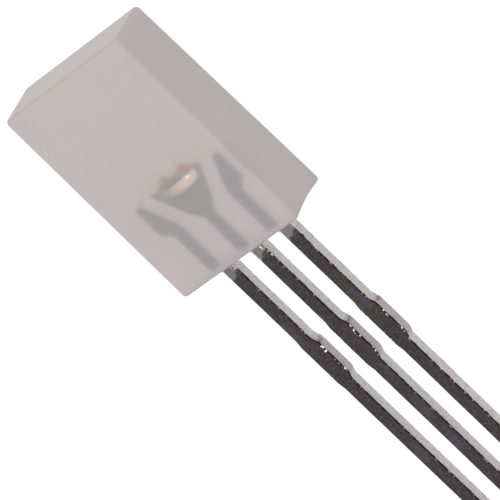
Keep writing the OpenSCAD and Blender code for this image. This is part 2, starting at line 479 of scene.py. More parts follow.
@dataclass(frozen=True)
class Tin:
    """Tin on the leads: painted dark reflections on the broad faces, a dark line along the bevels, painted
    pale reflections on the sheared edges and a few painted highlights.
    """

    # Painted reflection: the broad faces are painted dark, with random clouds and grain in that dark.
    dark: Colour = paint(71, 60, 67)
    dark_green: Colour = paint(68, 66, 60)
    violet: Colour = paint(90, 77, 92)
    grain_pale: Colour = paint(112, 100, 108)
    grain_dark: Colour = paint(44, 36, 42)
    # A dark line along the bevels, with jags onto the narrow faces.
    bevel_line: Colour = paint(44, 32, 38)
    # Painted reflection: the sheared edges are painted pale, with random warm and dull patches.
    edge: Colour = paint(192, 187, 187)
    edge_warm: Colour = paint(178, 174, 168)
    edge_dull: Colour = paint(142, 134, 138)
    # Painted shade in the fold just above the stubs; a share of it darkens the stubs too.
    crease_shade: Colour = paint(132, 122, 124)
    wet: Colour = paint(132, 130, 124)
    wet_violet: Colour = paint(126, 112, 122)
    # The resin film on the edges, over their pale painted reflection.
    wet_lit_edge: Colour = paint(202, 192, 188)
    # Painted highlights: bright specks on the bevels and small glint patches.
    spark: Colour = paint(250, 244, 250)
    green_at: Rise = Rise(0.88, 1.06)
    violet_at: Rise = Rise(0.52, 0.64, 0.6)
    pale_at: Rise = Rise(0.55, 0.75, 0.5)
    dark_at: Rise = Rise(0.48, 0.25, 0.6)
    warm_at: Rise = Rise(0.4, 0.6, 0.5)
    dull_at: Rise = Rise(0.52, 0.78, 0.6)
    stub_low: Rise = Rise(-5.05, -4.85)
    stub_high: Rise = Rise(-3.4, -3.56)
    stub_share: float = 0.4
    crease_low: Rise = Rise(-3.68, -3.6)
    crease_high: Rise = Rise(-3.5, -3.56)
    crease_at: Rise = Rise(0.4, 0.5, 0.5)
    broad: Rise = Rise(0.5, 0.62)
    bevel_wobble: float = 0.25
    bevel_turned: Rise = Rise(0.2, 0.4)
    bevel_flat: Rise = Rise(0.995, 0.95)
    bevel_line_at: Rise = Rise(0.3, 0.4)
    jag_wobble: float = 0.2
    jag_across: Rise = Rise(0.15, 0.17, 0.8)
    wet_wobble: float = 0.3
    wet_slant: float = -0.55
    wet_low: Rise = Rise(-0.55, -0.47, 0.9)
    wet_left: Rise = Rise(-0.6, -0.9, 0.8)
    sparks_at: Rise = Rise(0.62, 0.65)
    sparks_base: Rise = Rise(-0.9, -0.5, 0.6)
    sparks_stub: float = 0.8
    sparks_least: float = 0.25
    # Painted highlights: a glint patch just below the resin on the broad faces, and glints by the stubs.
    meniscus_glint: Sparkle = Sparkle(-0.28, 0.16, Rise(0.11, 0.03, 0.9), Rise(0.12, 0.04), Rise(0.46, 0.56))
    meniscus_glint_right: Rise = Rise(0.8, 0.6)
    burst: Sparkle = Sparkle(-3.85, 0.29, Rise(0.3, 0.1), Rise(0.06, 0.03), Rise(0.56, 0.6))

    def _faces(self, at: LeadMap) -> Signal:
        """Mixes the colour of the broad faces.

        Args:
            at: Map of the leads.

        Returns:
            A dark colour, a painted reflection, with green and violet clouds and a grain.
        """
        return at.coats(
            self.dark,
            ((at.blotch + at.cloud).mask(self.green_at), self.dark_green),
            (at.cloud.mask(self.violet_at), self.violet),
            (at.grain.mask(self.pale_at), self.grain_pale),
            (at.grain.mask(self.dark_at), self.grain_dark),
        )

    def _edges(self, at: LeadMap, stub: Signal) -> Signal:
        """Mixes the colour of the sheared edges, a painted pale reflection.

        Args:
            at: Map of the leads.
            stub: Mask of the tie bar's stubs.

        Returns:
            A pale colour, a painted reflection, darker on the stubs and with painted shade in the fold just
            above them.
        """
        crease_shade = at.z.mask(self.crease_low) * at.z.mask(self.crease_high) * at.blotch.mask(self.crease_at)
        return at.coats(
            self.edge,
            (at.blotch.mask(self.warm_at), self.edge_warm),
            (at.grain.mask(self.dull_at), self.edge_dull),
            (stub * self.stub_share + crease_shade, self.crease_shade),
        )

    def colour(self, at: LeadMap) -> Signal:
        """Mixes the colour of the leads below the resin, with its painted reflections, shade and highlights.

        Args:
            at: Map of the leads.

        Returns:
            The colour.
        """
        broad = at.facing.mask(self.broad)
        stub = at.z.mask(self.stub_low) * at.z.mask(self.stub_high)
        turned = at.grain.around(at.facing, self.bevel_wobble).mask(self.bevel_turned)
        bevel = turned * at.facing.mask(self.bevel_flat)
        line_jags = at.blotch.around(at.across, self.jag_wobble).mask(self.jag_across) * (1 - broad)
        climb = at.blotch.around(at.z, self.wet_wobble) + at.beside * self.wet_slant
        soaked = at.mix(at.x.mask(self.wet_left), self.wet, self.wet_violet)
        shine = stub * self.sparks_stub + at.z.mask(self.sparks_base) + self.sparks_least
        # Painted highlight patches.
        patches = self.meniscus_glint.mask(at) * at.x.mask(self.meniscus_glint_right) + self.burst.mask(at)
        return at.coats(
            self._edges(at, stub),
            (broad, self._faces(at)),
            (bevel * at.blotch.mask(self.bevel_line_at) + line_jags, self.bevel_line),
            (climb.mask(self.wet_low), at.mix(broad, self.wet_lit_edge, soaked)),
            (bevel * at.speck.mask(self.sparks_at) * shine + patches * broad, self.spark),
        )


class FrameMasks(NamedTuple):
    """Masks of the frame inside the resin where light and shade are painted: its edges, and the reflector's
    band, brow and hollow.
    """

    edges: Signal
    band: Signal
    brow: Signal
    hollow: Signal


@dataclass(frozen=True)
class Silver:
    """Silver on the frame inside the resin, with painted light and shade: what the reflector shows of the
    light round it is painted on, with painted shade at its rim and a painted glint.
    """

    flat: Colour = paint(112, 127, 140)
    # Painted light: the frame's narrow edges are painted pale and less metallic, and give off a little
    # painted light.
    edge: Colour = paint(236, 226, 222)
    # Painted reflection: the reflector's band is painted bright, brighter towards the right, and gives off
    # painted light.
    band: Colour = paint(246, 232, 214)
    # Painted shade on the brow along the reflector's front rim, except at its left end.
    lip_shade: Colour = paint(150, 134, 130)
    # A painted shadow: a dark line across the brow's middle, which also shades the hollow low down and the
    # cup's floor.
    slit_shadow: Colour = paint(12, 2, 84)
    # The hollow behind the rim: painted shade low down, and this pale colour above it.
    hollow: Colour = paint(190, 174, 176)
    # Painted light: emission colours with which the frame glows though it is no lamp, and a bright painted
    # glint.
    unlit: Colour = paint(0, 0, 0)
    lit: Colour = paint(255, 236, 205)
    glint: Colour = (6.0, 5.6, 5.6, 1.0)
    resin: Rise = Rise(-0.1, 0.1)
    broad: Rise = Rise(0.5, 0.75)
    belly: Rise = Rise(0.19, 0.2)
    band_across: Rise = Rise(0.195, 0.23)
    band_low: Rise = Rise(2.49, 2.58)
    band_left: Rise = Rise(-0.6, 0.3, 0.8)
    band_least: float = 0.2
    brow_low: Rise = Rise(2.855, 2.875)
    brow_front: Rise = Rise(-0.19, -0.23)
    lip_shade_left: Rise = Rise(-0.45, -0.3)
    slit_shadow_left: Rise = Rise(-0.34, -0.24)
    slit_shadow_right: Rise = Rise(0.40, 0.32)
    hollow_turned: Rise = Rise(-0.02, -0.06)
    hollow_ends: Rise = Rise(1.15, 1.1)
    hollow_high: Rise = Rise(2.86, 2.91)
    floor_low: Rise = Rise(2.78, 2.8)
    floor_high: Rise = Rise(2.88, 2.86)
    floor_up: Rise = Rise(0.4, 0.2)
    floor_x: float = -0.12
    floor_ends: Rise = Rise(0.5, 0.35)
    edge_paint: float = 0.9
    band_paint: float = 0.8
    glow_left: Rise = Rise(-0.6, 0.3, 0.4)
    glow_right: Rise = Rise(0.1, 0.6, 0.25)
    glow_edges: float = 0.15
    glint_at: tuple[float, float, float] = (0.53, -0.44, 2.80)
    glint_r: Rise = Rise(0.06, 0.02)

    def masks(self, at: LeadMap) -> FrameMasks:
        """Tells the parts of the frame apart.

        Args:
            at: Map of the leads.

        Returns:
            A mask of each.
        """
        narrow = (1 - at.facing.mask(self.broad)) * (1 - at.across.mask(self.belly))
        inward = at.outward.mask(self.hollow_turned) * abs(at.x).mask(self.hollow_ends)
        return FrameMasks(
            edges=at.z.mask(self.resin) * narrow,
            band=at.across.mask(self.band_across) * at.z.mask(self.band_low),
            brow=at.z.mask(self.brow_low) * at.y.mask(self.brow_front),
            hollow=at.z.mask(self.floor_low) * inward,
        )

    def colour(self, at: LeadMap, on: FrameMasks) -> Signal:
        """Mixes the colour of the frame inside the resin, with its painted light and shade.

        Args:
            at: Map of the leads.
            on: Masks of the frame.

        Returns:
            The colour.
        """
        # Painted shadow line across the brow's middle.
        slit_shadow = on.brow * at.x.mask(self.slit_shadow_left) * at.x.mask(self.slit_shadow_right)
        # Painted shade on the cup's floor.
        floor = at.z.mask(self.floor_low) * at.z.mask(self.floor_high) * (1 - on.hollow)
        floor = floor * at.facing.mask(self.floor_up) * abs(at.x - self.floor_x).mask(self.floor_ends)
        return at.coats(
            self.flat,
            (on.edges, self.edge),
            (on.band * (at.x.mask(self.band_left) + self.band_least), self.band),
            (on.brow, at.mix(at.x.mask(self.lip_shade_left), self.flat, self.lip_shade)),
            (slit_shadow, self.slit_shadow),
            (on.hollow, at.mix(at.z.mask(self.hollow_high), self.slit_shadow, self.hollow)),
            (floor, self.slit_shadow),
        )

    def metal(self, on: FrameMasks) -> Signal:
        """How metallic the frame is, which is less where painted light and shade stand in for its look."""
        painted = (1 - on.edges * self.edge_paint) * (1 - on.band * self.band_paint)
        return painted * (1 - on.brow) * (1 - on.hollow)

    def glow(self, at: LeadMap, on: FrameMasks) -> Signal:
        """Mixes the painted light that the reflector's band, the frame's edges and the glint give off, though
        the frame is no lamp.

        Args:
            at: Map of the leads.
            on: Masks of the frame.

        Returns:
            The light's colour.
        """
        band = on.band * (1 - on.brow) * (1 - on.hollow)
        glow = band * (at.x.mask(self.glow_left) + at.x.mask(self.glow_right))
        glow = glow + (1 - on.band) * on.edges * self.glow_edges
        glint = at.point.distance(self.glint_at).mask(self.glint_r)
        return at.coats(self.unlit, (glow, self.lit), (glint, self.glint))


@dataclass(frozen=True)
class LeadPlating(Finish):
    """Plating of the three leads: tin below the resin and silver inside it, with painted light and shade on
    both.
    """

    name: str = "lead_plating"
    tin: Tin = Tin()
    silver: Silver = Silver()
    inside: Rise = Rise(-0.1, 0.2)
    roughness: float = 0.42
    rough_range: float = 0.3
    grain_depth: float = 0.006
    # Strength of the painted light that the frame gives off.
    glow_strength: float = 0.48

    def surface(self, graph: Graph) -> Signal:
        """Joins both metals in one shader.

        Args:
            graph: The material's nodes.

        Returns:
            The shader.
        """
        at = LeadMap(graph.tree)
        on = self.silver.masks(at)
        colour = at.mix(at.z.mask(self.inside), self.tin.colour(at), self.silver.colour(at, on))
        sockets = {
            "Metallic": self.silver.metal(on),
            "Normal": at.bump(at.grain, self.grain_depth),
            "Emission Color": self.silver.glow(at, on),
            "Emission Strength": self.glow_strength,
        }
        return at.principled(colour, at.grain.around(self.roughness, self.rough_range), sockets)


@dataclass(frozen=True)
class PlainFinish(Finish):
    """A small part's finish: one colour broken up by noise, with a fine grain in the surface."""

    colour: Colour
    second: Colour
    metallic: float
    roughness: float
    rough_range: float = 0.2
    grain_depth: float = 0.003
    spots: Spots = Spots(0.04)
    spotted: Rise = Rise(0.35, 0.65)

    def tint(self, graph: Graph, noise: Signal) -> Signal:
        """Mixes the colour from its two shades."""
        return graph.mix(noise.mask(self.spotted), self.colour, self.second)

    def surface(self, graph: Graph) -> Signal:
        """Adds one shader that the noise breaks up.

        Args:
            graph: The material's nodes.

        Returns:
            The shader.
        """
        noise = graph.noise(self.spots)
        roughness = noise.around(self.roughness, self.rough_range)
        sockets = {"Metallic": self.metallic, "Normal": graph.bump(noise, self.grain_depth)}
        return graph.principled(self.tint(graph, noise), roughness, sockets)


@dataclass(frozen=True)
class DieFinish(PlainFinish):
    """A die's finish, as the resin lets it show, with painted light and shade: its colour strong in a painted
    lit spot, paler beside it, and painted shade below.
    """

    metallic: float = 0.0
    roughness: float = 0.3
    # Painted light and shade: the die's paler colour beside its painted lit spot, and below it the foot's
    # painted shade.
    beside_lit_spot: Colour = field(kw_only=True)
    foot: Colour = paint(50, 36, 56)
    middle_x: float = 0.06
    spot_x: float = 0.4
    beside: Rise = Rise(0.07, 0.17)
    low: Rise = Rise(2.93, 2.89)

    def tint(self, graph: Graph, noise: Signal) -> Signal:
        """Mixes the colour, pales it beside the painted lit spot and darkens the foot with painted shade.

        Args:
            graph: The material's nodes.
            noise: Noise that breaks up the colour.

        Returns:
            The colour.
        """
        place = graph.place()
        off_spot = abs(abs(place.part("X") - self.middle_x) - self.spot_x)
        return graph.coats(
            super().tint(graph, noise),
            (off_spot.mask(self.beside), self.beside_lit_spot),
            (place.part("Z").mask(self.low), self.foot),
        )


@dataclass(frozen=True)
class FloorPaint(Finish):
    """Matt pale paint, which looks brighter than the light that it throws on the LED."""

    name: str = "floor_paint"
    pale: Colour = paint(224, 224, 224)
    bright: Colour = paint(255, 255, 255)
    lift: float = 0.32

    def surface(self, graph: Graph) -> Signal:
        """Adds a dull coat, and a glow for rays that show the floor.

        Args:
            graph: The material's nodes.

        Returns:
            The shader.
        """
        coat = graph.node("ShaderNodeBsdfDiffuse", {}, {"Color": self.pale})
        strength = graph.seen() * self.lift
        glow = graph.node("ShaderNodeEmission", {}, {"Color": self.bright, "Strength": strength})
        return graph.node("ShaderNodeAddShader", {}, {0: coat, 1: glow})


def add_object(name: str, data: bpy.types.ID) -> bpy.types.Object:
    """Puts a new object into the scene.

    Args:
        name: The object's name.
        data: Its mesh, lamp or camera.

    Returns:
        The object.
    """
    made = bpy.data.objects.new(name, data)
    bpy.context.scene.collection.objects.link(made)
    return made


class Skin:
    """Points and faces of a piece's closed surfaces."""

    def __init__(self) -> None:
        """Starts with no points."""
        self.points: list[Vector] = []
        self.faces: list[tuple[int, ...]] = []

    def rows(self, rows: Sequence[Sequence[Vector]], closed: bool) -> list[range]:
        """Adds rows of as many points each, with faces between each row and the next.

        Args:
            rows: The rows of points.
            closed: Whether they are rings, with faces from their last points to their first.

        Returns:
            The numbers of each row's points.
        """
        added = []
        for row in rows:
            added.append(range(len(self.points), len(self.points) + len(row)))
            self.points += row
        for low, high in zip(added, added[1:]):
            for i in range(len(low) if closed else len(low) - 1):
                after = (i + 1) % len(low)
                self.faces.append((low[i], low[after], high[after], high[i]))
        return added

    def solid(self, rings: Sequence[Sequence[Vector]]) -> None:
        """Adds rings, each joined to the next, with a flat face on the first and on the last."""
        added = self.rows(rings, closed=True)
        self.faces += [tuple(reversed(added[0])), tuple(added[-1])]

    def move(self, x: float, y: float) -> None:
        """Shifts all points sideways."""
        self.points = [p + Vector((x, y, 0)) for p in self.points]

    def build(self, name: str, weighted: bool = True) -> bpy.types.Object:
        """Makes the mesh object.

        Args:
            name: The piece's name.
            weighted: Whether large faces set the shading beside narrow bevels.

        Returns:
            The new object, in metres.
        """
        mesh = bpy.data.meshes.new(name)
        mesh.from_pydata([p * MM for p in self.points], [], self.faces)
        work = bmesh.new()
        work.from_mesh(mesh)
        bmesh.ops.remove_doubles(work, verts=work.verts, dist=WELD * MM)
        bmesh.ops.recalc_face_normals(work, faces=work.faces)
        for face in work.faces:
            face.smooth = True
        work.to_mesh(mesh)
        work.free()
        piece = add_object(name, mesh)
        if weighted:
            piece.modifiers.new("flat faces", "WEIGHTED_NORMAL").keep_sharp = True
        return piece


def dress(piece: bpy.types.Object, node: str, material: bpy.types.Material) -> None:
    """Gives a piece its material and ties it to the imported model.

    Args:
        piece: The piece, already in place.
        node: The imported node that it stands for.
        material: Its finish.
    """
    piece.data.materials.clear()
    piece.data.materials.append(material)
    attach(piece, BODY)
    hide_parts(node)
    LOG.info("%s stands for %s, with %d faces", piece.name, node, len(piece.data.polygons))


@dataclass
class EpoxyBlock:
    """The cast block: a drafted box with round edges, a hollow base and a fillet at each lead."""

    leads: LeadSizes
    base_w: float
    base_t: float
    height: float
    top_w: float = 5.08
    top_t: float = 1.82
    edge_r: float = 0.15
    rim_r: float = 0.14
    dip: float = 0.07
    fillet_h: float = 0.50
    fillet_w: float = 0.16
    film_h: float = 0.15
    film_t: float = 0.012
    crowding: float = 2.2
    fillet_steps: int = 10
    gap_steps: int = 5
    rim_steps: int = 5
    side_steps: int = 26
    edge_steps: int = 10
    corner_steps: int = 8
    reach_x: float = field(init=False)
    reach_y: float = field(init=False)
    lines_x: list[float] = field(init=False)
    lines_y: list[float] = field(init=False)

    def __post_init__(self) -> None:
        """Places the mesh lines across the base."""
        self.reach_x, self.reach_y = self._half(0.0)
        self.lines_x = self._stations(self.reach_x, self.leads.row, self.leads.width / 2)
        self.lines_y = self._stations(self.reach_y, (0.0,), self.leads.thickness / 2)

    @classmethod
    def from_frame(cls, leads: LeadSizes) -> EpoxyBlock:
        """Reads the block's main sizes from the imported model."""
        low, high = in_mm(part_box("epoxy_body"))
        return cls(leads, base_w=high.x - low.x, base_t=high.y - low.y, height=high.z)

    def _half(self, z: float) -> tuple[float, float]:
        """How far the flat parts of the sides reach.

        Args:
            z: Height above the base rim.

        Returns:
            Half the width and half the thickness there, less the round edges.
        """
        share = z / self.height
        width = self.base_w + (self.top_w - self.base_w) * share
        thickness = self.base_t + (self.top_t - self.base_t) * share
        return width / 2 - self.edge_r, thickness / 2 - self.edge_r

    def _hollow(self, y: float) -> float:
        """The set resin's surface, which dips between the base's long rims.

        Args:
            y: Place across the base.

        Returns:
            How far the surface lies above the rim.
        """
        half = self.base_t / 2
        radius = (half * half + self.dip * self.dip) / (2 * self.dip)
        return max(self.dip - radius + math.sqrt(radius * radius - y * y), 0.0)

    def _fillet(self, x: float, y: float) -> float:
        """The resin's climb down the nearest lead, a hollow curve that ends in a thin film.

        Args:
            x: Place along the row of leads.
            y: Place across the base.

        Returns:
            How far the resin hangs down there.
        """
        rise = self.fillet_w - self.film_t
        radius = (rise * rise + self.fillet_h * self.fillet_h) / (2 * rise)
        past_x = min(abs(x - lead) for lead in self.leads.row) - self.leads.width / 2
        past_y = abs(y) - self.leads.thickness / 2
        away = math.hypot(max(past_x, 0.0), max(past_y, 0.0))
        clear = min(max(away - self.film_t, 0.0), rise)
        film = self.film_h if away <= self.film_t + WELD else 0.0
        return max(self.fillet_h - math.sqrt(radius**2 - (radius - clear) ** 2) + film, 0.0)

    def _stations(self, half: float, leads: Sequence[float], lead_half: float) -> list[float]:
        """Places of the mesh lines across the base, close together where the fillets are.

        Args:
            half: How far the lines reach to each side.
            leads: Middles of the leads along this direction.
            lead_half: Half a lead's size along it.

        Returns:
            The places, in rising order.
        """
        flare = self.fillet_w - self.film_t
        near = [0.0, self.film_t / 2]
        near += [self.film_t + flare * share**self.crowding for share in spread(0.0, 1.0, self.fillet_steps)]
        places: list[float] = []
        stop = -half
        for lead in leads:
            places += spread(stop, lead - lead_half - near[-1], self.gap_steps)[:-1]
            places += [lead - lead_half - d for d in reversed(near)]
            places += [lead]
            places += [lead + lead_half + d for d in near[:-1]]
            stop = lead + lead_half + near[-1]
        places += spread(stop, half, self.gap_steps)
        return places

    def _ring(self, z: float, inset: float = 0.0, lift: float = 0.0) -> Ring:
        """One ring round the block.

        Args:
            z: Its height.
            inset: How far it lies inside the block's sides.
            lift: How much of the base hollow's shape it takes on.

        Returns:
            Its points, counter-clockwise from the front left.
        """
        half_w, half_t = self._half(max(z, 0.0))
        radius = max(self.edge_r - inset, 0.0)
        turns = spread(0.0, QUARTER, self.corner_steps)[1:-1]
        sides = (
            (self.lines_x, half_w / self.reach_x, half_t, half_w),
            (self.lines_y, half_t / self.reach_y, half_w, half_t),
        )
        points: Ring = []
        for side in range(4):
            flat, stretch, depth, end = sides[side % 2]
            local = [Vector((s * stretch, -depth - radius, 0)) for s in flat]
            local += [Vector((end + radius * math.sin(a), -depth - radius * math.cos(a), 0)) for a in turns]
            turn = Matrix.Rotation(side * QUARTER, 3, "Z")
            points += [turn @ p for p in local]
        for p in points:
            p.z = z + lift * self._hollow(p.y)
        return points

    def build(self, material: bpy.types.Material) -> None:
        """Makes the block's closed skin, whose fillets run down outside the leads.

        Args:
            material: Its finish.
        """
        rings = [self._ring(0.0, self.edge_r, 1.0)]
        for a in spread(0.0, QUARTER, self.rim_steps):
            rings.append(self._ring(self.rim_r * (1 - math.cos(a)), self.rim_r * (1 - math.sin(a)), 1.0))
        shoulder = self.height - self.edge_r
        rings += [self._ring(z) for z in spread(self.rim_r, shoulder, self.side_steps)[1:-1]]
        for a in spread(0.0, QUARTER, self.edge_steps):
            rings.append(self._ring(shoulder + self.edge_r * math.sin(a), self.edge_r * (1 - math.cos(a))))
        base = [
            [Vector((x, y, self._hollow(y) - self._fillet(x, y))) for x in self.lines_x]
            for y in self.lines_y
        ]
        top_w, top_t = self._half(self.height)
        top = [
            [Vector((x * top_w / self.reach_x, y * top_t / self.reach_y, self.height)) for x in self.lines_x]
            for y in self.lines_y
        ]
        skin = Skin()
        skin.rows(rings, closed=True)
        skin.rows(base, closed=False)
        skin.rows(top, closed=False)
        dress(skin.build("epoxy_block"), "epoxy_body", material)


@dataclass
class Outline:
    """The two edges of a stamped strip, each a row of (height, offset) points with soft corners."""

    left: Edge
    right: Edge
    soft: float = 0.03
    soft_steps: int = 6

    def _edge(self, points: Edge, z: float) -> float:
        """Where an edge lies at a height, averaged a little to soften its corners."""
        steps = spread(z - self.soft, z + self.soft, self.soft_steps)
        return sum(self._straight(points, at) for at in steps) / len(steps)

    @staticmethod
    def _straight(points: Edge, z: float) -> float:
        """Where an edge of straight stretches lies.

        Args:
            points: The edge.
            z: The height.

        Returns:
            The edge's offset there.
        """
        if z <= points[0][0]:
            return points[0][1]
        for (low, start), (high, end) in zip(points, points[1:]):
            if z <= high:
                return start + (end - start) * (z - low) / (high - low)
        return points[-1][1]

    def at(self, z: float) -> tuple[float, float]:
        """The left and the right edge at a height."""
        return self._edge(self.left, z), self._edge(self.right, z)


class Hand(Enum):
    """Which side of the centre lead a side lead stands on."""

    LEFT = -1
    RIGHT = 1


@dataclass
class LeadFrame:
    """The three leads: a centre one with the reflector, and two with stepped posts."""

    sizes: LeadSizes
    seed: int = 7
    shear: float = 0.0025
    stub_low: float = -5.05
    stub_high: float = -3.35
    stub_out: float = 0.10
    stub_bevel: float = 0.24
    stub_back: float = 0.04
    stub_more: float = 0.15
    tip_r: float = 0.05
    post_out: float = 0.59
    post_tip_w: float = 0.28
    lean_low: float = 1.74
    step_low: float = 1.58
    step_high: float = 1.82
    flare_low: float = 1.52
    knee_h: float = 1.82
    knee_w: float = 1.04
    head_w: float = 2.24
    bulge_len: float = 2.00
    bulge_r: float = 0.58
    bulge_end_r: float = 0.25
    bulge_mark: float = 0.08
    cup_wall: float = 0.09
    cup_depth: float = 0.13
    cup_steps: int = 8
    halvings: int = 40
    least_r: float = 0.002
    round_steps: int = 4
    side_steps: int = 4
    post_steps: int = 6
    head_steps: int = 44
    tip_clear: float = 0.08
    run_from: float = 0.1
    run_to: float = -0.5
    run_steps: int = 60
    top_steps: int = 12
    stub_reach: float = 0.32
    stub_steps: int = 32
    mark_reach: float = 0.1
    mark_steps: int = 6
    nearest: float = 0.012

    def _bump(self, low: float, high: float, base: float, out: float) -> Edge:
        """An edge that stands out between two heights, with a bevel at each."""
        bevel = self.stub_bevel
        return [(low, base), (low + bevel, base + out), (high - bevel, base + out), (high, base)]

    def _stubs(self, half: float) -> tuple[Edge, Edge]:
        """Both edges of the strip below the head, with what the tie bar's cut left on them.

        Args:
            half: Half the strip's width.

        Returns:
            The left and the right edge.
        """
        low, high, more = self.stub_low, self.stub_high, self.stub_more
        back = self._bump(low - more, high + more, -half, -self.stub_back)
        return back, self._bump(low, high, half, self.stub_out)

    def _ring(
        self,
        z: float,
        edges: tuple[float, float],
        across: int,
        inset: float = 0.0,
        front: Callable[[float], float] = flat_front,
    ) -> Ring:
        """One ring round a lead.

        Args:
            z: Its height.
            edges: Where its left and right sides lie.
            across: How many steps the broad faces have.
            inset: How far it lies inside those sides and the broad faces.
            front: How far the broad faces stand out at least, at a place across them.

        Returns:
            Its points, counter-clockwise from the front left.
        """
        round_r = max(self.sizes.edge_r - inset, self.least_r)
        low, high = edges[0] + inset + round_r, edges[1] - inset - round_r
        depth = self.sizes.thickness / 2 - inset - round_r
        broad = [(x, max(depth + round_r, front(x))) for x in spread(low, high, across)]
        narrow = spread(-depth, depth, self.side_steps)
        flats = (
            [Vector((x, -out, z)) for x, out in broad],
            [Vector((high + round_r, y, z)) for y in narrow],
            [Vector((x, out, z)) for x, out in reversed(broad)],
            [Vector((low - round_r, y, z)) for y in reversed(narrow)],
        )
        corners = ((high, -depth), (high, depth), (low, depth), (low, -depth))
        points: Ring = []
        for quarter, ((x, y), flat) in enumerate(zip(corners, flats)):
            points += flat
            for a in spread(0.0, QUARTER, self.round_steps)[1:-1]:
                angle = a - QUARTER + quarter * QUARTER
                points.append(Vector((x + round_r * math.cos(angle), y + round_r * math.sin(angle), z)))
        return points

    def _levels(self, tip: float, marks: Sequence[float], top: float) -> list[float]:
        """Heights of the rings along a lead, close together where its outline changes.

        Args:
            tip: Height of the tip.
            marks: Heights at which the outline has a corner.
            top: Height of the top end.

        Returns:
            The heights, in rising order.
        """
        runs = [(tip + self.run_from, self.run_to, self.run_steps), (self.run_to, top, self.top_steps)]
        for end in (self.stub_low, self.stub_high):
            runs.append((end - self.stub_reach, end + self.stub_reach, self.stub_steps))
        runs += [(mark - self.mark_reach, mark + self.mark_reach, self.mark_steps) for mark in marks]
        levels = {z for run in runs for z in spread(*run)}
        kept: list[float] = []
        for z in sorted(levels):
            inside = tip + self.tip_clear < z < top - self.sizes.edge_r
            if inside and (not kept or z - kept[-1] > self.nearest):
                kept.append(z)
        return kept

    def _end(self, z: float, outline: Outline, up: int, size: float, across: int) -> list[Ring]:
        """Rings that round off an end.

        Args:
            z: Height of the end.
            outline: The lead's two edges.
            up: 1 for a top end and -1 for a tip.
            size: Radius of the rounding.
            across: How many steps the broad faces have.

        Returns:
            The rings, from the sides to the end face.
        """
        rings = []
        for a in spread(0.0, QUARTER, self.round_steps):
            level = z - up * size * (1 - math.sin(a))
            rings.append(self._ring(level, outline.at(z), across, size * (1 - math.cos(a))))
        return rings

    def _ragged(self, ring: Ring, dice: random.Random) -> Ring:
        """Moves a ring sideways by a hair, as shearing leaves the edges."""
        shift = Vector((dice.uniform(-self.shear, self.shear), dice.uniform(-self.shear, self.shear), 0))
        return [p + shift for p in ring]

    def side_lead(self, hand: Hand, node: str, material: bpy.types.Material) -> None:
        """Makes a side lead with its stepped post.

        Args:
            hand: The side that it stands on.
            node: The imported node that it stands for.
            material: Its finish.
        """
        low, high = in_mm(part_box(node))
        half = self.sizes.width / 2
        left, right = self._stubs(half)
        outer = [(self.step_low, half), (self.step_high, self.post_out)]
        inner = [(self.lean_low, -half), (high.z, self.post_out - self.post_tip_w)]
        if hand is Hand.LEFT:
            outline = Outline(left + mirrored(outer), right + mirrored(inner))
        else:
            outline = Outline(left + inner, right + outer)
        marks = (self.lean_low, self.step_low, self.step_high)
        dice = random.Random(self.seed + hand.value)
        across = self.post_steps
        rings = self._end(low.z, outline, -1, self.tip_r, across)[::-1]
        for z in self._levels(low.z, marks, high.z):
            rings.append(self._ragged(self._ring(z, outline.at(z), across), dice))
        rings += self._end(high.z, outline, 1, self.sizes.edge_r, across)
        skin = Skin()
        skin.solid(rings)
        skin.move(hand.value * self.sizes.pitch, 0)
        dress(skin.build(node + "_plated"), node, material)

    def _oval(self, x: float, wall: float = 0.0) -> float:
        """Half the reflector's width at a place along it: a long arc between two small end arcs.

        Args:
            x: The place, measured from the middle.
            wall: How far the outline lies inside the reflector's outer skin.

        Returns:
            The half width, or 0 past the ends.
        """
        end = self.bulge_len / 2 - self.bulge_end_r
        arc_r = (end**2 + self.bulge_r**2 - self.bulge_end_r**2) / (2 * (self.bulge_r - self.bulge_end_r))
        meet = end + self.bulge_end_r * end / (arc_r - self.bulge_end_r)
        if abs(x) < meet:
            return math.sqrt((arc_r - wall) ** 2 - x * x) - arc_r + self.bulge_r
        return math.sqrt(max((self.bulge_end_r - wall) ** 2 - (abs(x) - end) ** 2, 0.0))

    def _bulge(self, x: float, depth: float, wall: float = 0.0) -> float:
        """How far the turned oval stands out in front and behind, at a depth below the rim."""
        return math.sqrt(max(self._oval(x, wall) ** 2 - depth**2, 0.0))

    def _to_cup(self, point: Vector, depth: float, rim: float) -> Vector:
        """Slides a point straight towards the middle until it meets the cup's outline.

        Args:
            point: The point, on the ring round the head's rim.
            depth: Depth of the outline below the rim.
            rim: Height of the rim.

        Returns:
            The point on the outline.
        """
        near, far = 0.0, 1.0
        for _ in range(self.halvings):
            share = (near + far) / 2
            if abs(point.y) * share < self._bulge(point.x * share, depth, self.cup_wall):
                near = share
            else:
                far = share
        return Vector((point.x * near, point.y * near, rim - depth))

    def common_lead(self, node: str, material: bpy.types.Material) -> None:
        """Makes the centre lead with its flared head and the oval reflector.

        Args:
            node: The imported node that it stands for.
            material: Its finish.
        """
        low, high = in_mm(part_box(node))
        half = self.sizes.width / 2
        left, right = self._stubs(half)
        flare = [(self.flare_low, half), (self.knee_h, self.knee_w / 2), (high.z, self.head_w / 2)]
        outline = Outline(left + mirrored(flare), right + flare)
        marks = (self.flare_low, self.knee_h, high.z - self.bulge_r + self.bulge_mark)
        dice = random.Random(self.seed)
        across = self.head_steps
        rings = self._end(low.z, outline, -1, self.tip_r, across)[::-1]
        for z in self._levels(low.z, marks, high.z):
            ring = self._ring(z, outline.at(z), across, front=partial(self._bulge, depth=high.z - z))
            rings.append(self._ragged(ring, dice) if z < self.flare_low else ring)
        rim = self._ring(high.z, outline.at(high.z), across, front=partial(self._bulge, depth=0.0))
        rings.append(rim)
        for depth in spread(0.0, self.cup_depth, self.cup_steps):
            rings.append([self._to_cup(p, depth, high.z) for p in rim])
        skin = Skin()
        skin.solid(rings)
        dress(skin.build(node + "_plated"), node, material)


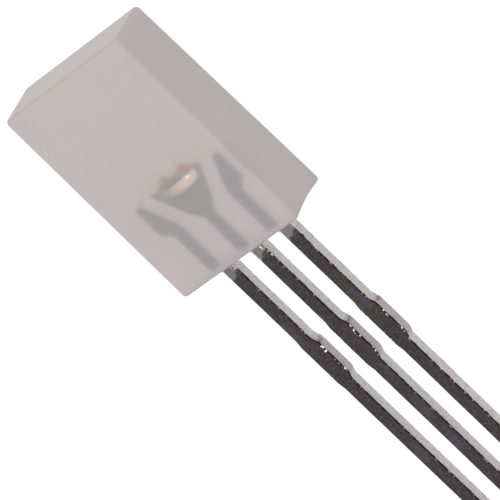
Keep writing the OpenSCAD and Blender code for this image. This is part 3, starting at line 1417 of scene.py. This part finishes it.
@dataclass
class Chips:
    """The two dies, each on its spot of glue on the reflector's floor."""

    side: float = 0.30
    mesa_in: float = 0.02
    mesa_h: float = 0.05
    bevel: float = 0.008
    pad_d: float = 0.12
    pad_h: float = 0.01
    glue_foot: float = 0.004
    glue_round: float = 0.03
    glue_steps: int = 5
    disc_sides: int = 32

    def _square(self, z: float, half: float) -> Ring:
        """A ring round a die: a square with slightly cut corners.

        Args:
            z: Its height.
            half: Half the square's side.

        Returns:
            Its points.
        """
        cut = self.bevel
        corners = ((half - cut, -half), (half, -half + cut), (half, half - cut), (half - cut, half))
        right = [Vector((x, y, z)) for x, y in corners]
        return right + [Vector((-p.x, -p.y, z)) for p in right]

    def _disc(self, z: float, radius: float) -> Ring:
        """A round ring at a height."""
        turns = spread(0.0, 2 * math.pi, self.disc_sides)[:-1]
        return [Vector((radius * math.cos(a), radius * math.sin(a), z)) for a in turns]

    def die(self, node: str, material: bpy.types.Material) -> None:
        """Makes a sawn die with an etched top and a round contact.

        Args:
            node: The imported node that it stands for.
            material: Its finish.
        """
        low, high = in_mm(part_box(node))
        middle = (low + high) / 2
        half, bevel = self.side / 2, self.bevel
        mesa = half - self.mesa_in
        top = high.z - self.pad_h
        step = top - self.mesa_h
        sawn = (
            (low.z, half - bevel / 2),
            (low.z + bevel, half),
            (step - bevel / 2, half),
            (step, half - bevel / 2),
            (step, mesa + bevel),
            (step + bevel, mesa),
            (top - bevel, mesa),
            (top, mesa - bevel / 2),
        )
        pad_r, rim = self.pad_d / 2, self.pad_h / 3
        contact = ((top - self.pad_h, pad_r), (high.z - rim, pad_r), (high.z, pad_r - rim))
        skin = Skin()
        skin.solid([self._square(z, reach) for z, reach in sawn])
        skin.solid([self._disc(z, radius) for z, radius in contact])
        skin.move(middle.x, middle.y)
        dress(skin.build(node + "_crystal"), node, material)

    def glue(self, node: str, material: bpy.types.Material) -> None:
        """Makes a spot of glue that thins out towards its rim.

        Args:
            node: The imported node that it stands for.
            material: Its finish.
        """
        low, high = in_mm(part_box(node))
        middle = (low + high) / 2
        radius, thick = (high.x - low.x) / 2, high.z - low.z
        rings = [self._disc(low.z, radius - self.glue_foot)]
        for a in spread(0.0, QUARTER, self.glue_steps):
            inset = self.glue_round * (1 - math.cos(a))
            rings.append(self._disc(low.z + thick * math.sin(a), radius - inset))
        skin = Skin()
        skin.solid(rings)
        skin.move(middle.x, middle.y)
        dress(skin.build(node + "_spot"), node, material)


@dataclass
class BondWires:
    """The gold wires: a squashed ball on the die, a bend, a straight fall and a pressed foot."""

    wire_d: float = 0.03
    sides: int = 16
    ball_d: float = 0.09
    ball_squash: float = 0.75
    ball_fullness: float = 0.7
    ball_least_r: float = 0.004
    ball_steps: int = 10
    neck_share: float = 0.6
    bend_r: float = 0.10
    bend_steps: int = 12
    foot_d: float = 0.10
    foot_t: float = 0.012
    foot_flat: float = 0.75
    foot_steps: int = 4
    end_up: float = 0.9
    end_back: float = 0.4

    def _hoop(self, middle: Vector, along: Vector, radius: float) -> Ring:
        """A ring of points square to a direction in the XZ plane.

        Args:
            middle: Its middle.
            along: The direction.
            radius: Its radius.

        Returns:
            Its points.
        """
        side = Vector((0, 1, 0))
        up = side.cross(along).normalized()
        turns = spread(0.0, 2 * math.pi, self.sides)[:-1]
        return [middle + radius * (math.cos(a) * up + math.sin(a) * side) for a in turns]

    def _ball(self, start: Vector) -> list[Ring]:
        """Rings of the squashed ball.

        Args:
            start: Middle of the die's contact.

        Returns:
            The rings, from the contact up.
        """
        height = self.ball_d * self.ball_squash
        rings = []
        for a in spread(0.0, math.pi, self.ball_steps):
            radius = max(self.ball_d / 2 * math.sin(a) ** self.ball_fullness, self.ball_least_r)
            rings.append(self._hoop(start + UP * height * (1 - math.cos(a)) / 2, UP, radius))
        return rings

    def _run(self, start: Vector, foot: Vector, top: float, hand: Hand) -> list[Ring]:
        """Rings of the wire itself, with a bend and a straight fall.

        Args:
            start: Middle of the die's contact.
            foot: Middle of the pressed foot.
            top: Height of the wire's highest point.
            hand: The side that the post stands on.

        Returns:
            The rings, from the ball to the foot.
        """
        radius = self.wire_d / 2
        ahead = Vector((hand.value, 0, 0))
        neck = top - self.wire_d / 2 - self.bend_r
        centre = Vector((start.x, 0, neck)) + ahead * self.bend_r
        fall = Vector((abs(foot.x - centre.x), neck - foot.z - self.foot_t / 2))
        slope = math.asin(self.bend_r / fall.length) + math.atan2(fall.y, fall.x)
        ball_h = self.ball_d * self.ball_squash
        hoops = [self._hoop(start + UP * ball_h * self.neck_share, UP, radius)]
        for turned in spread(0.0, QUARTER + slope, self.bend_steps):
            out = -ahead * math.cos(turned) + UP * math.sin(turned)
            along = UP * math.cos(turned) + ahead * math.sin(turned)
            hoops.append(self._hoop(centre + out * self.bend_r, along, radius))
        down = -UP * math.sin(slope) + ahead * math.cos(slope)
        end = foot + UP * self.foot_t * self.end_up
        hoops.append(self._hoop(end - ahead * self.foot_d * self.end_back, down, radius))
        return hoops

    def _foot(self, foot: Vector) -> list[Ring]:
        """Rings of the pressed foot.

        Args:
            foot: Middle of its sole.

        Returns:
            The rings, from the post up.
        """
        rings = []
        for a in spread(0.0, QUARTER, self.foot_steps):
            radius = self.foot_d / 2 * (self.foot_flat + (1 - self.foot_flat) * math.cos(a))
            rings.append(self._hoop(foot + UP * self.foot_t * math.sin(a), UP, radius))
        return rings

    def wire(self, hand: Hand, node: str, die_node: str, material: bpy.types.Material) -> None:
        """Makes the wire from a die to its post.

        Args:
            hand: The side that its post stands on.
            node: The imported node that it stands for.
            die_node: The node of the die that it starts on.
            material: Its finish.
        """
        low, high = in_mm(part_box(node))
        die_low, die_high = in_mm(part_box(die_node))
        start = Vector(((die_low.x + die_high.x) / 2, 0, die_high.z))
        toe = high.x if hand is Hand.RIGHT else low.x
        foot = Vector((toe - hand.value * self.foot_d / 2, 0, low.z))
        skin = Skin()
        skin.solid(self._ball(start))
        skin.solid(self._run(start, foot, high.z, hand))
        skin.solid(self._foot(foot))
        dress(skin.build(node + "_drawn", weighted=False), node, material)


@dataclass
class Studio:
    """Floor, lamp, sky and camera round the LED. The floor's half and the clips are in metres."""

    floor_gap: float = 0.02
    floor_half: float = 2.0
    ambient: float = 0.85
    sun_share: float = 0.22
    sun_width: float = 40.0
    sun_way: tuple[float, float, float] = (-0.15, 0.75, -0.7)
    distance: float = 200.0
    azimuth: float = 40.045
    elevation: float = 13.029
    roll: float = 46.206
    aim: tuple[float, float, float] = (-0.1954, -0.1990, -0.1511)
    lens: float = 508.33
    sensor: float = 36.0
    clips: tuple[float, float] = (0.01, 10.0)
    bounces: int = 16
    resin_bounces: int = 12

    def floor(self, low: Vector) -> None:
        """Lays a pale floor under the lead tips.

        Args:
            low: The part's lowest corner, in metres.
        """
        half, z = self.floor_half, low.z - self.floor_gap * MM
        corners = [(-half, -half, z), (half, -half, z), (half, half, z), (-half, half, z)]
        mesh = bpy.data.meshes.new("floor")
        mesh.from_pydata(corners, [], [(0, 1, 2, 3)])
        mesh.materials.append(FloorPaint().material())
        floor = add_object("floor", mesh)
        floor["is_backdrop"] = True

    def lights(self) -> None:
        """Hangs an even sky and one soft lamp."""
        world = bpy.data.worlds.new("soft_room")
        bpy.context.scene.world = world
        world.use_nodes = True
        graph = Graph(world.node_tree)
        strength = graph.seen() * (1 - self.ambient) + self.ambient
        sky = {"Color": paint(255, 255, 255), "Strength": strength}
        graph.node("ShaderNodeOutputWorld", {}, {"Surface": graph.node("ShaderNodeBackground", {}, sky)})
        lamp = bpy.data.lights.new("soft_lamp", "SUN")
        lamp.energy = math.pi * self.sun_share
        lamp.angle = math.radians(self.sun_width)
        holder = add_object("soft_lamp", lamp)
        holder.rotation_euler = Vector(self.sun_way).to_track_quat("-Z", "Y").to_euler()

    def camera(self) -> None:
        """Puts the camera where the picture was taken from."""
        turn, rise, rolled = (math.radians(a) for a in (self.azimuth, self.elevation, self.roll))
        back = Vector((math.sin(turn) * math.cos(rise), -math.cos(turn) * math.cos(rise), math.sin(rise)))
        level = Vector((math.cos(turn), math.sin(turn), 0))
        upright = back.cross(level)
        right = level * math.cos(rolled) - upright * math.sin(rolled)
        up = level * math.sin(rolled) + upright * math.cos(rolled)
        data = bpy.data.cameras.new("camera")
        data.sensor_width = self.sensor
        data.lens = self.lens
        data.clip_start, data.clip_end = self.clips
        holder = add_object("camera", data)
        place = (Vector(self.aim) + back * self.distance) * MM
        holder.matrix_world = Matrix.Translation(place) @ Matrix((right, up, back)).transposed().to_4x4()
        bpy.context.scene.camera = holder

    def build(self, low: Vector) -> None:
        """Sets the stage under the part.

        Args:
            low: The part's lowest corner, in metres.
        """
        self.floor(low)
        self.lights()
        self.camera()
        scene = bpy.context.scene
        scene.view_settings.view_transform = "Standard"
        scene.cycles.use_denoising = True
        scene.cycles.max_bounces = self.bounces
        scene.cycles.transmission_bounces = self.resin_bounces


def main() -> None:
    """Builds the LED piece by piece, then the studio."""
    logging.basicConfig(level=logging.INFO, format="%(message)s")
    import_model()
    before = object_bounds()
    sizes = LeadSizes()
    plating = LeadPlating().material()
    EpoxyBlock.from_frame(sizes).build(MilkyEpoxy().material())
    frame = LeadFrame(sizes)
    frame.common_lead("common_lead", plating)
    frame.side_lead(Hand.LEFT, "left_lead", plating)
    frame.side_lead(Hand.RIGHT, "right_lead", plating)
    chips = Chips()
    glue = PlainFinish("silver_glue", paint(196, 194, 188), paint(150, 148, 142), metallic=0.8, roughness=0.5)
    cured = glue.material()
    chips.glue("left_die_glue", cured)
    chips.glue("right_die_glue", cured)
    red = DieFinish("red_crystal", paint(228, 106, 48), paint(202, 84, 36), beside_lit_spot=paint(206, 176, 164))
    chips.die("red_die", red.material())
    green = DieFinish("green_crystal", paint(214, 146, 132), paint(196, 128, 116), beside_lit_spot=paint(204, 184, 176))
    chips.die("green_die", green.material())
    gold = PlainFinish("gold_wire", paint(244, 224, 182), paint(232, 206, 158), metallic=1.0, roughness=0.25)
    drawn = gold.material()
    wires = BondWires()
    wires.wire(Hand.RIGHT, "red_bond_wire", "red_die", drawn)
    wires.wire(Hand.LEFT, "green_bond_wire", "green_die", drawn)
    Studio().build(before[0])


if __name__ == "__main__":
    main()
